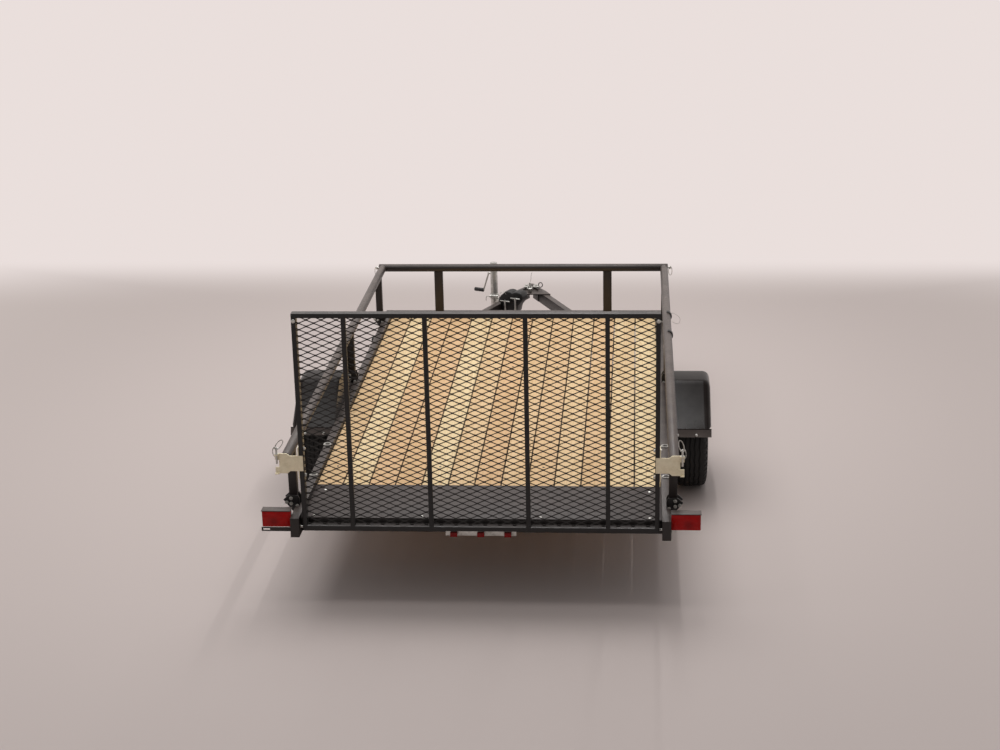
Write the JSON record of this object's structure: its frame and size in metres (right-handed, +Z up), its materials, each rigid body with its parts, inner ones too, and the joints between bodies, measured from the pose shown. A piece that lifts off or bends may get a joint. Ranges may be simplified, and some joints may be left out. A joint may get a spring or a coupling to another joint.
{
  "type": "utility trailer",
  "caption": "Single-axle utility trailer with a planked bed, round side rails, an expanded-mesh ramp gate, fenders and an A-frame tongue on a swivel jack.",
  "frame": {"origin": "on the floor under the middle of the overall length and width", "axes": "+Y the towing direction, +X the right side, +Z up"},
  "size_m": [2.41, 4.72, 1.55],
  "materials": {
    "frame_black": "satin",
    "deck_wood": "matte",
    "tyre_rubber": "matte",
    "wheel_silver": "satin",
    "fender_black": "gloss",
    "zinc": "satin",
    "moulded_black": "matte",
    "lens_red": "gloss",
    "hub_grey": "satin",
    "axle_black": "satin"
  },
  "bodies": {
    "chassis": {"axle": "axle_black", "bar_light": "lens_red", "bar_light_plate": "frame_black", "clamp_body": "moulded_black", "clamp_screws": "zinc", "corner_pins": "zinc", "coupler": "zinc", "coupler_latch": "zinc", "cross_angles": "frame_black", "deck_planks": "deck_wood", "fender_left": "fender_black", "fender_right": "fender_black", "frame_rail_left": "frame_black", "frame_rail_right": "frame_black", "front_cross_tube": "frame_black", "front_rail": "frame_black", "front_rail_posts": "frame_black", "gate_hinge_pins": "zinc", "jack_mount": "zinc", "lamp_guard_left": "frame_black", "lamp_guard_right": "frame_black", "leaf_spring_left": "axle_black", "leaf_spring_right": "axle_black", "marker_lamps": "moulded_black", "plate_bracket": "frame_black", "post_feet_left": "frame_black", "post_feet_right": "frame_black", "rail_posts_left": "frame_black", "rail_posts_right": "frame_black", "rear_cross_tube": "frame_black", "rear_deck_plate": "frame_black", "side_rail_left": "frame_black", "side_rail_right": "frame_black", "spring_hangers_left": "frame_black", "spring_hangers_right": "frame_black", "tail_lamp_left": "lens_red", "tail_lamp_right": "lens_red", "tongue_arm_left": "frame_black", "tongue_arm_right": "frame_black"},
    "wheel_left": {"tyre_left": "tyre_rubber", "rim_left": "wheel_silver", "hub_left": "hub_grey"},
    "wheel_right": {"tyre_right": "tyre_rubber", "rim_right": "wheel_silver", "hub_right": "hub_grey"},
    "gate": {"gate_frame": "frame_black", "gate_mesh": "frame_black", "gate_latch_plates": "zinc", "latch_pins": "zinc"},
    "jack": {"jack_swivel_plate": "zinc", "jack_tube": "zinc", "jack_crank": "zinc"},
    "jack_foot_leg": {"jack_leg": "zinc"}
  },
  "joints": [
    {"name": "wheel_left_spin", "type": "hinge", "parent": "chassis", "child": "wheel_left", "pos_m": [-1.1, -0.6, 0.305], "axis": [-1, 0, 0], "continuous": true},
    {"name": "wheel_right_spin", "type": "hinge", "parent": "chassis", "child": "wheel_right", "pos_m": [1.1, -0.6, 0.305], "axis": [-1, 0, 0], "continuous": true},
    {"name": "gate_hinge", "type": "hinge", "parent": "chassis", "child": "gate", "pos_m": [0, -2.3055, 0.423], "axis": [1, 0, 0], "range_deg": [0, 110.5]},
    {"name": "jack_swivel", "type": "hinge", "parent": "chassis", "child": "jack", "pos_m": [-0.19439, 1.9934, 0.348], "axis": [-0.9135, 0.4067, 0], "range_deg": [0, 90]},
    {"name": "jack_slide", "type": "slide", "parent": "jack", "child": "jack_foot_leg", "axis": [0, 0, 1], "range_m": [-0.08, 0.2]}
  ]
}
